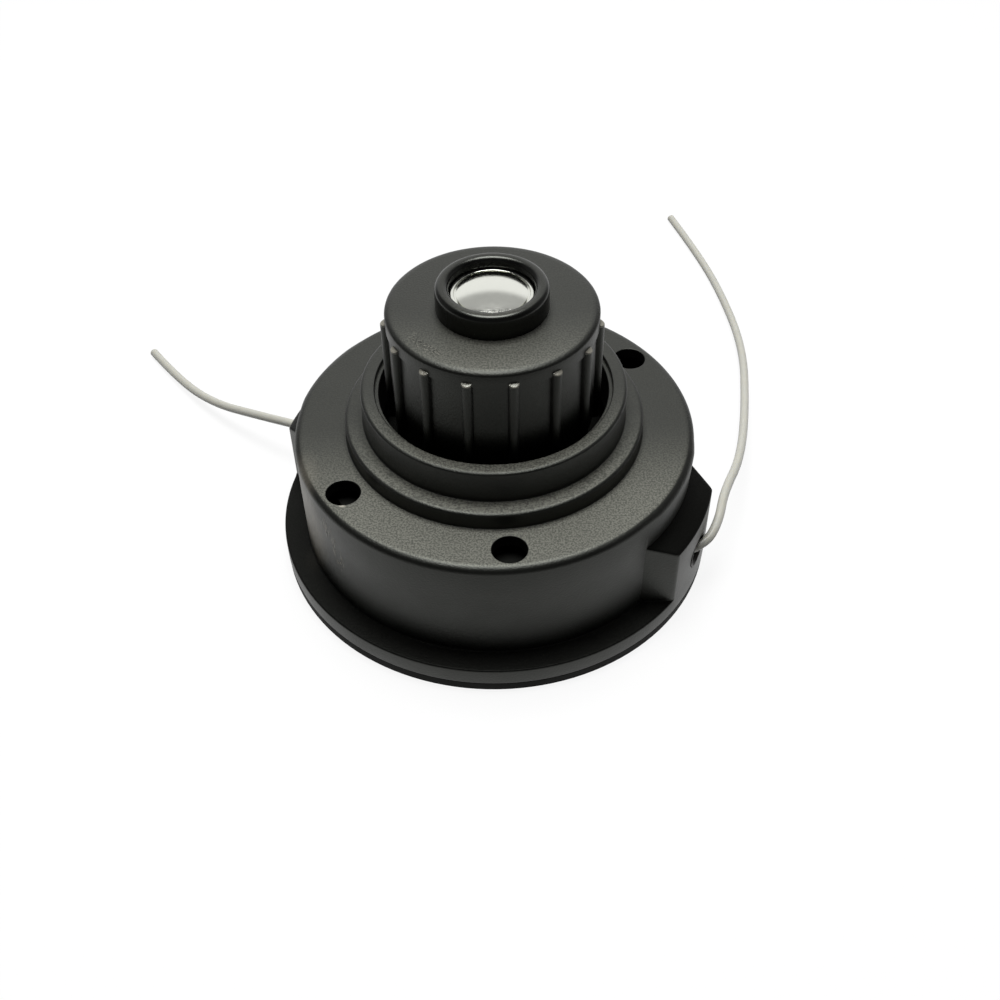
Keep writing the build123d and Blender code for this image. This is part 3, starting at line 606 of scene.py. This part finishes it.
def dome_parts():
    """Domed cap: a spherical crown, height = top - (R - sqrt(R^2 - r^2)), over a groove and a flat rim."""
    ball = (DOME_RADIUS ** 2 + DOME_RISE ** 2) / (2 * DOME_RISE)
    crown = DOME_RIM_TOP + DOME_RISE
    crown_radius = DOME_RADIUS * np.sin(np.linspace(math.pi / 2, 0, DOME_ROWS))
    crown_height = crown - ball + np.sqrt(ball ** 2 - crown_radius ** 2)
    groove_out = DOME_RADIUS + DOME_GROOVE_WIDTH
    floor = DOME_RIM_TOP - DOME_GROOVE_DEPTH
    corners = [
        (0, COLLAR_SEAT), (DOME_RIM_RADIUS, COLLAR_SEAT), (DOME_RIM_RADIUS, DOME_RIM_TOP),
        (groove_out, DOME_RIM_TOP), (groove_out, floor), (DOME_RADIUS, floor),
        *zip(crown_radius, crown_height)]
    rounds = [0, 0, DOME_EDGE_ROUND, DOME_EDGE_ROUND, 0, 0] + [0] * len(crown_radius)
    return turned_parts(corners, rounds)


def linear(colour):
    """Linear RGBA of an sRGB hex colour."""
    share = np.array([int(colour[k:k + 2], 16) for k in (1, 3, 5)]) / 255
    light = np.where(share <= 0.04045, share / 12.92, ((share + 0.055) / 1.055) ** 2.4)
    return (*light.tolist(), 1.0)


def add(material, kind, settings=None, **inputs):
    """One node of that kind with its settings. An input has its name, with low lines for spaces, or its
    number, as in i0 and i1. It is linked to a socket, or to a node's first output in use, or given a value."""
    tree = material.node_tree
    node = tree.nodes.new(kind)
    for name, value in (settings or {}).items():
        setattr(node, name, value)
    for name, value in inputs.items():
        numbered = name[0] == "i" and name[1:].isdigit()
        socket = node.inputs[int(name[1:]) if numbered else name.replace("_", " ")]
        if isinstance(value, bpy.types.Node):
            value = next(output for output in value.outputs if output.enabled)
        if isinstance(value, bpy.types.NodeSocket):
            tree.links.new(value, socket)
        else:
            socket.default_value = value
    return node


def new_material(name):
    """Empty node material."""
    material = bpy.data.materials.new(name)
    material.use_nodes = True
    material.node_tree.nodes.clear()
    return material


def spot(material, place, centre, size):
    """Mask that is 1 at a centre and falls to 0 at the half sizes of an ellipsoid round it, in mm."""
    middle = [value * MM for value in centre]
    reach = [value * MM for value in size]
    off = add(material, VECTOR_MATH, SUBTRACT, i0=place, i1=middle)
    share = add(material, VECTOR_MATH, DIVIDE, i0=off, i1=reach)
    distance = add(material, VECTOR_MATH, LENGTH, i0=share)
    return add(material, STEP, SMOOTH, Value=distance, From_Min=1.0, From_Max=SPOT_CORE)


def any_spot(material, place, spots):
    """Largest of several spot masks."""
    masks = [spot(material, place, centre, size) for centre, size in spots]
    found = masks[0]
    for mask in masks[1:]:
        found = add(material, MATH, LARGER, i0=found, i1=mask)
    return found


def overlap(material, shared, *masks):
    """Product of several masks, which is 1 only where each of them is."""
    for mask in masks:
        shared = add(material, MATH, MULTIPLY, i0=shared, i1=mask)
    return shared


def moulded_nylon(name, colour, roughness, grain_mm, grain_depth_mm, specular, wear=None):
    """Black glass-filled nylon from a spark-eroded mould: a fine even grain that breaks the sheen into
    specks, faint cloudy changes of gloss from handling, and a pale film on the upper level faces, dust with a
    painted sheen that grows towards the front. Sheltered faces low down shine less. Wear gives the colour, the
    gloss and the height their marks."""
    material = new_material(name)
    surface = add(material, COORDINATES).outputs
    place = surface["Object"]
    grain = add(material, NOISE, Vector=place, Scale=1 / (grain_mm * MM), **GRAIN)
    cloud = add(material, NOISE, Vector=place, **NYLON_CLOUD)
    gloss = add(
        material, STEP, SMOOTH, Value=cloud, **NYLON_CLOUD_STEP, To_Min=roughness - NYLON_CLOUD_GLOSS,
        To_Max=roughness + NYLON_CLOUD_GLOSS)
    upward = add(material, AXES, Vector=surface["Normal"]).outputs["Z"]
    _, y, z = add(material, AXES, Vector=place).outputs
    # Mask of the pale film on level faces: dust, with a painted sheen that grows towards the front
    dust_and_sheen = overlap(
        material,
        add(material, STEP, SMOOTH, Value=upward, **LEVEL_FACING),
        add(material, STEP, SMOOTH, Value=z, **DUST_AND_SHEEN_HEIGHT),
        add(material, STEP, SMOOTH, Value=y, **SHEEN_TOWARDS_FRONT),
        add(material, STEP, SMOOTH, Value=grain, **DUST_AND_SHEEN_IN_GRAIN))
    sheltered = overlap(
        material,
        add(material, STEP, SMOOTH, Value=upward, **SHELTERED_FACING),
        add(material, STEP, SMOOTH, Value=z, **SHELTERED_HEIGHT))
    shine = add(
        material, STEP, SMOOTH, Value=sheltered, To_Min=specular, To_Max=specular * SHELTERED_SPECULAR)
    # Pale film on level faces: dust and painted sheen
    tone = add(material, MIX, COLOUR, i0=dust_and_sheen, i6=linear(colour), i7=linear(DUST_AND_SHEEN))
    height = grain
    if wear:
        tone, gloss, height = wear(material, place, tone, gloss, height)
    bump = add(material, BUMP, Height=height, Strength=1.0, Distance=grain_depth_mm * MM)
    shader = add(
        material, PRINCIPLED, Base_Color=tone, Roughness=gloss, IOR=NYLON_IOR, Specular_IOR_Level=shine,
        Specular_Tint=linear(LAMP_TINT_IN_SHEEN), Normal=bump)
    add(material, OUTPUT, Surface=shader)
    return material


def drum_wear(material, place, tone, gloss, height):
    """Marks on the drum: wavy upright scuffs, a pale warm film on the left of the wall that is dust with a
    painted highlight where the wall catches light at a grazing angle, and a torn scrap of mould flash at two
    holes."""
    stretched = add(material, MAPPING, Vector=place, Scale=[1 / (size * MM) for size in SCUFF_STRETCH])
    streak = add(material, NOISE, Vector=stretched, **SCUFF_WAVES)
    scuffed = overlap(
        material,
        any_spot(material, place, SCUFFS),
        add(material, STEP, SMOOTH, Value=streak, **SCUFF_STEP))
    film = overlap(
        material,
        any_spot(material, place, WALL_DUST_AND_HIGHLIGHT_SPOTS),
        add(material, STEP, SMOOTH, Value=streak, **WALL_DUST_AND_HIGHLIGHT_STEP))
    flash = any_spot(material, place, FLASH_SPOTS)
    pale = add(material, MATH, LARGER, i0=scuffed, i1=flash)
    raised = add(material, MATH, MULTIPLY, i0=scuffed, i1=SCUFF_HEIGHT)
    # Dust with a painted highlight on the left of the wall
    tone = add(material, MIX, COLOUR, i0=film, i6=tone, i7=linear(WALL_DUST_AND_HIGHLIGHT))
    tone = add(material, MIX, COLOUR, i0=pale, i6=tone, i7=linear(SCUFF))
    height = add(material, MATH, ADD, i0=height, i1=raised)
    return tone, gloss, height


def knob_wear(material, place, tone, gloss, height):
    """Marks on the knob: a faint strip of pits and flecks along the front left of its top, and rib ends
    worn smooth, with a painted highlight in pale colour on them."""
    pits = add(material, NOISE, Vector=place, **PIT_PATTERN)
    x, y, z = add(material, AXES, Vector=place).outputs
    flat = add(material, VECTOR, X=x, Y=y)
    out = add(material, VECTOR_MATH, LENGTH, i0=flat)
    struck = overlap(
        material,
        add(material, STEP, SMOOTH, Value=out, **PIT_BAND_INSIDE),
        add(material, STEP, SMOOTH, Value=out, **PIT_BAND_OUTSIDE),
        any_spot(material, place, PIT_SPOTS))
    pitted = overlap(material, struck, add(material, STEP, SMOOTH, Value=pits, **PIT_STEP))
    flecked = overlap(material, struck, add(material, STEP, SMOOTH, Value=pits, **FLECK_STEP))
    rib_ends = overlap(
        material,
        add(material, STEP, SMOOTH, Value=out, **RIB_END_RADIUS),
        add(material, STEP, SMOOTH, Value=z, **RIB_END_HEIGHT))
    darkened = add(material, MATH, MULTIPLY, i0=pitted, i1=PIT_SHARE)
    lightened = add(material, MATH, MULTIPLY, i0=flecked, i1=FLECK_SHARE)
    dulled = add(material, MATH, MULTIPLY, i0=pitted, i1=PIT_DULLING)
    smoothed = add(material, MATH, MULTIPLY, i0=rib_ends, i1=RUBBED_GLOSS)
    sunk = add(material, MATH, MULTIPLY, i0=pitted, i1=PIT_DEPTH)
    tone = add(material, MIX, COLOUR, i0=darkened, i6=tone, i7=linear(PIT))
    tone = add(material, MIX, COLOUR, i0=lightened, i6=tone, i7=linear(FLECK))
    # Painted highlight on the rib ends
    tone = add(material, MIX, COLOUR, i0=rib_ends, i6=tone, i7=linear(RIB_END_HIGHLIGHT))
    gloss = add(material, MATH, ADD, i0=gloss, i1=dulled)
    gloss = add(material, MATH, SUBTRACT, i0=gloss, i1=smoothed)
    height = add(material, MATH, SUBTRACT, i0=height, i1=sunk)
    return tone, gloss, height


def steel(name, colour, pattern, gloss):
    """Bare steel whose roughness follows a pattern by the given step."""
    material = new_material(name)
    place = add(material, COORDINATES).outputs["Object"]
    marks = add(material, NOISE, Vector=place, **pattern)
    worn = add(material, STEP, Value=marks, **gloss)
    shader = add(material, PRINCIPLED, Base_Color=linear(colour), Metallic=1.0, Roughness=worn)
    add(material, OUTPUT, Surface=shader)
    return material


def polished_steel():
    """Steel pressed and polished: a near mirror, with very fine marks from use."""
    return steel("polished_steel", POLISHED_STEEL, POLISHED_MARKS, POLISHED_GLOSS)


def blackened_steel():
    """Turned steel with a black oxide finish, dull and a little patchy."""
    return steel("blackened_steel", BLACKENED_STEEL, BLACKENED_PATCHES, BLACKENED_GLOSS)


def zinc_steel():
    """Plain steel fittings with bright zinc, lightly clouded."""
    return steel("zinc_plated_steel", ZINC_STEEL, ZINC_CLOUDS, ZINC_GLOSS)


def line_nylon():
    """Extruded nylon line, milky and part see-through: pale through its middle, with a soft gloss."""
    material = new_material("extruded_line_nylon")
    place = add(material, COORDINATES).outputs["Object"]
    haze = add(material, NOISE, Vector=place, **LINE_HAZE)
    tone = add(material, MIX, COLOUR, i0=haze, i6=linear(LINE_NYLON), i7=linear(LINE_NYLON_PALE))
    shader = add(
        material, PRINCIPLED, Base_Color=tone, Roughness=LINE_ROUGHNESS, IOR=LINE_IOR,
        Subsurface_Weight=LINE_DEPTH_SHARE, Subsurface_Scale=LINE_DEPTH * MM,
        Subsurface_Radius=LINE_DEPTH_TINT)
    add(material, OUTPUT, Surface=shader)
    return material


def line_end(name, route, node, material):
    """Loose line end on a smooth spline whose control points are the route's."""
    curve = bpy.data.curves.new(name, "CURVE")
    curve.dimensions = "3D"
    curve.bevel_depth = LINE_RADIUS * MM
    curve.bevel_resolution = LINE_BEVEL_STEPS
    curve.use_fill_caps = True
    spline = curve.splines.new("NURBS")
    spline.points.add(len(route) - 1)
    for point, place in zip(spline.points, route):
        point.co = (*(value * MM for value in place), 1.0)
    spline.order_u = LINE_SPLINE_ORDER
    spline.use_endpoint_u = True
    spline.resolution_u = LINE_STEPS
    piece = bpy.data.objects.new(name, curve)
    bpy.context.scene.collection.objects.link(piece)
    curve.materials.append(material)
    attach(piece, "housing")
    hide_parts(node)
    return piece


def dress(nodes, material):
    """Gives solids that stay as they are their material."""
    for name in nodes:
        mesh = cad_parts[name].data
        mesh.materials.clear()
        mesh.materials.append(material)


def studio_paper():
    """White paper: to the camera it glows white over a matt share that keeps the object's shadow. Mirrored,
    it is white behind the object and darker to the front, at the sides and high up. To other rays it is matt
    grey."""
    material = new_material("white_paper")
    ray = add(material, LIGHT_PATH).outputs
    place = add(material, COORDINATES).outputs["Object"]
    x, y, z = add(material, AXES, Vector=place).outputs
    aside = add(material, MATH, ABSOLUTE, i0=x)
    mirrored = add(material, MATH, LARGER, i0=ray["Is Glossy Ray"], i1=ray["Is Transmission Ray"])
    shaded = overlap(
        material, mirrored,
        add(material, STEP, SMOOTH, Value=y, **FRONT_FADE),
        add(material, STEP, SMOOTH, Value=z, **HIGH_FADE),
        add(material, STEP, SMOOTH, Value=aside, **SIDE_FADE),
        PAPER_MIRRORED_SHARE)
    seen = add(material, MATH, MULTIPLY, i0=ray["Is Camera Ray"], i1=PAPER_SEEN_SHARE)
    share = add(material, MATH, LARGER, i0=seen, i1=shaded)
    paper = add(
        material, MIX, COLOUR, i0=ray["Is Camera Ray"], i6=linear(PAPER_MATT), i7=linear(PAPER_SEEN_MATT))
    matt = add(material, DIFFUSE, Color=paper)
    glow = add(material, EMISSION, Color=(1, 1, 1, 1), Strength=PAPER_GLOW)
    mixed = add(material, MIX_SHADER, i0=share, i1=matt, i2=glow)
    add(material, OUTPUT, Surface=mixed)
    return material


def studio():
    """Paper floor that bends up into a wall all round, higher behind the object, with a softbox overhead and
    dim room light. On the bend, radius = floor + depth sin a and height = rise (1 - cos a)."""
    turn = np.linspace(0, math.pi / 2, SWEEP_STEPS)[1:]
    angles = np.linspace(0, 2 * math.pi, SWEEP_COLUMNS, endpoint=False)
    bend = FLOOR_RADIUS + SWEEP_DEPTH * np.sin(turn)
    radius = np.concatenate([[0, FLOOR_RADIUS], bend, [FLOOR_RADIUS + SWEEP_DEPTH]])
    height = np.concatenate([[0, 0], 1 - np.cos(turn), [WALL_TO_RISE]])
    rise = SWEEP_RISE + SWEEP_RISE_BEHIND * np.maximum(np.sin(angles), 0) ** BEHIND_POWER
    points = lathe_points(radius[:, None] + 0 * angles, np.multiply.outer(height, rise), angles)
    faces = band_faces(len(radius), SWEEP_COLUMNS)[:, :, ::-1]
    mesh = bpy.data.meshes.new("paper_sweep")
    mesh.from_pydata(points.reshape(-1, 3) * MM, [], faces.reshape(-1, 4).tolist())
    mesh.shade_smooth()
    mesh.materials.append(studio_paper())
    sweep = bpy.data.objects.new("paper_sweep", mesh)
    bpy.context.scene.collection.objects.link(sweep)
    softbox("overhead_softbox", SOFTBOX_PLACE, SOFTBOX_TARGET, SOFTBOX_SIZE, SOFTBOX_WATTS)
    world = bpy.data.worlds.new("room")
    bpy.context.scene.world = world
    world.use_nodes = True
    world.node_tree.nodes["Background"].inputs["Color"].default_value = (1, 1, 1, 1)
    world.node_tree.nodes["Background"].inputs["Strength"].default_value = ROOM_LIGHT


def softbox(name, place, target, size, watts):
    """Rectangular lamp at a place, turned to a target, sizes in mm."""
    lamp = bpy.data.lights.new(name, "AREA")
    lamp.shape = "RECTANGLE"
    lamp.size = size[0] * MM
    lamp.size_y = size[1] * MM
    lamp.energy = watts
    box = bpy.data.objects.new(name, lamp)
    bpy.context.scene.collection.objects.link(box)
    box.location = np.array(place) * MM
    box.rotation_mode = "QUATERNION"
    box.rotation_quaternion = (Vector(target) - Vector(place)).to_track_quat("-Z", "Y")
    box.visible_camera = False


def camera():
    """Camera at the photograph's place: turned by yaw about the upright, pitched down, rolled."""
    yaw, pitch, roll = (math.radians(a) for a in (CAMERA_YAW, CAMERA_PITCH, CAMERA_ROLL))
    base = np.array([
        [1, 0, 0], [0, -math.sin(pitch), -math.cos(pitch)], [0, math.cos(pitch), -math.sin(pitch)]])
    about = np.array([[math.cos(yaw), math.sin(yaw), 0], [-math.sin(yaw), math.cos(yaw), 0], [0, 0, 1]])
    level = np.array([[math.cos(roll), math.sin(roll), 0], [-math.sin(roll), math.cos(roll), 0], [0, 0, 1]])
    right, down, forward = level @ base @ about
    matrix = np.eye(4)
    matrix[:3, :3] = np.stack([right, -down, -forward], axis=1)
    matrix[:3, 3] = np.array(CAMERA_PLACE) * MM
    data = bpy.data.cameras.new("photo_camera")
    data.sensor_width = SENSOR_WIDTH
    data.lens = CAMERA_PIXELS / PHOTO_WIDTH * SENSOR_WIDTH
    data.clip_start = CAMERA_CLIP_START * MM
    data.clip_end = CAMERA_CLIP_END * MM
    view = bpy.data.objects.new("photo_camera", data)
    bpy.context.scene.collection.objects.link(view)
    view.matrix_world = Matrix(matrix.tolist())
    bpy.context.scene.camera = view


DRUM_FINISH = moulded_nylon(
    "moulded_black_nylon", BLACK_NYLON, BLACK_NYLON_ROUGHNESS, BLACK_NYLON_GRAIN, DRUM_GRAIN_DEPTH,
    NYLON_SPECULAR, drum_wear)
KNOB_FINISH = moulded_nylon(
    "moulded_black_nylon_knob", BLACK_NYLON, BLACK_NYLON_ROUGHNESS, BLACK_NYLON_GRAIN, KNOB_GRAIN_DEPTH,
    NYLON_SPECULAR, knob_wear)
COLLAR_FINISH = moulded_nylon(
    "smooth_black_nylon", SMOOTH_BLACK_NYLON, SMOOTH_ROUGHNESS, SMOOTH_GRAIN, SMOOTH_GRAIN_DEPTH,
    NYLON_SPECULAR)
INNER_FINISH = moulded_nylon(
    "dull_black_nylon", DULL_BLACK_NYLON, DULL_ROUGHNESS, DULL_GRAIN, DULL_GRAIN_DEPTH, DULL_SPECULAR)
LINE_FINISH = line_nylon()
ZINC_FINISH = zinc_steel()

make_piece("drum_moulding", drum_parts(), "housing", DRUM_FINISH, ["drum_housing"])
make_piece("knob_moulding", knob_parts(), "reel", KNOB_FINISH, ["bump_knob"])
make_piece("collar_ring", collar_parts(), "reel", COLLAR_FINISH, ["knob_collar"])
make_piece("cap_dome", dome_parts(), "reel", polished_steel(), ["dome_cap"])
line_end("right_line_end", RIGHT_LINE_ROUTE, "line_right", LINE_FINISH)
line_end("left_line_end", LEFT_LINE_ROUTE, "line_left", LINE_FINISH)
dress(["back_cover", "spool"], INNER_FINISH)
dress(["eyelet_right", "eyelet_left"], blackened_steel())
dress(["cover_screws", "drive_nut", "guide_post", "post_clip", "knob_stud"], ZINC_FINISH)
dress(["spring_seat", "feed_spring", "thrust_washer"], ZINC_FINISH)
dress(["line_winding_lower", "line_winding_upper"], LINE_FINISH)
studio()
camera()
bpy.context.scene.view_settings.view_transform = "Standard"
